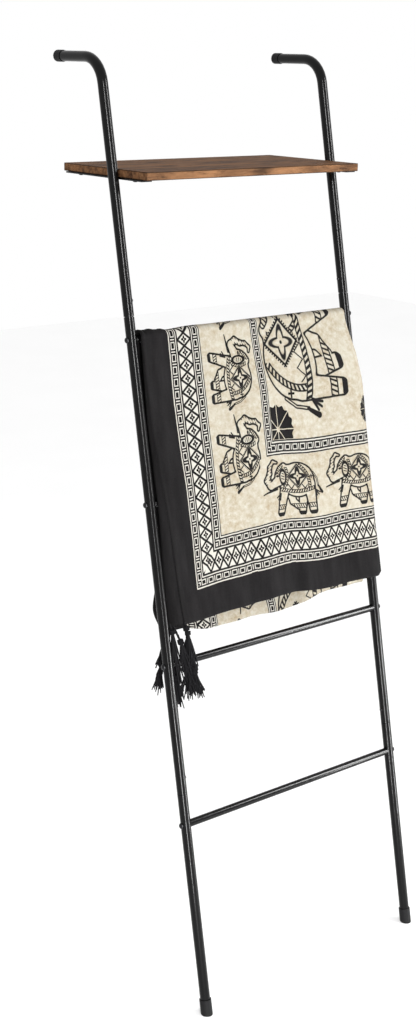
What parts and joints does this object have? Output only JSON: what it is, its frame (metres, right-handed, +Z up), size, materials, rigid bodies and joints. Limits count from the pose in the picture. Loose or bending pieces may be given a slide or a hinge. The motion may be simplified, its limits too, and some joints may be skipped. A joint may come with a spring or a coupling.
{
  "type": "quilt on a leaning rack",
  "caption": "Folded printed cotton throw hanging over the top rung of a leaning black tube rack with a wooden shelf; two bent arms rest on a wall and two feet on the floor.",
  "frame": {"origin": "centre of the bounding box, on the floor that the two feet stand on", "axes": "+X along the rungs to the viewer's right, +Y from the room towards the wall that the rack leans on, +Z up"},
  "size_m": [0.6228, 0.4914, 1.7106],
  "materials": {
    "black_steel": "satin black powder coat",
    "black_zinc": "black zinc fasteners",
    "bright_steel": "plain inner fittings",
    "rubber": "matt black",
    "rustic_board": "rustic brown grained board",
    "printed_cotton": "cream cotton block-printed in black",
    "black_yarn": "twisted black cotton"
  },
  "bodies": {
    "root": {"foot_cap_left": "rubber", "foot_cap_right": "rubber", "lower_rail_left": "black_steel", "lower_rail_right": "black_steel", "lower_seam_screw_left": "black_zinc", "lower_seam_screw_right": "black_zinc", "lower_sleeve_left": "bright_steel", "lower_sleeve_right": "bright_steel", "middle_rail_left": "black_steel", "middle_rail_right": "black_steel", "rung_1": "black_steel", "rung_1_bolt_left": "black_zinc", "rung_1_bolt_right": "black_zinc", "rung_1_insert_left": "bright_steel", "rung_1_insert_right": "bright_steel", "rung_2": "black_steel", "rung_2_bolt_left": "black_zinc", "rung_2_bolt_right": "black_zinc", "rung_2_insert_left": "bright_steel", "rung_2_insert_right": "bright_steel", "rung_3": "black_steel", "rung_3_bolt_left": "black_zinc", "rung_3_bolt_right": "black_zinc", "rung_3_insert_left": "bright_steel", "rung_3_insert_right": "bright_steel", "rung_4": "black_steel", "rung_4_bolt_left": "black_zinc", "rung_4_bolt_right": "black_zinc", "rung_4_insert_left": "bright_steel", "rung_4_insert_right": "bright_steel", "shelf_board": "rustic_board", "shelf_screw_back_left": "black_zinc", "shelf_screw_back_right": "black_zinc", "shelf_screw_front_left": "black_zinc", "shelf_screw_front_right": "black_zinc", "shelf_strip_left": "black_steel", "shelf_strip_right": "black_steel", "tassel_1": "black_yarn", "tassel_2": "black_yarn", "tassel_3": "black_yarn", "tassel_4": "black_yarn", "tassel_5": "black_yarn", "throw": "printed_cotton", "upper_rail_left": "black_steel", "upper_rail_right": "black_steel", "upper_seam_screw_left": "black_zinc", "upper_seam_screw_right": "black_zinc", "upper_sleeve_left": "bright_steel", "upper_sleeve_right": "bright_steel", "wall_cap_left": "rubber", "wall_cap_right": "rubber"}
  },
  "joints": []
}
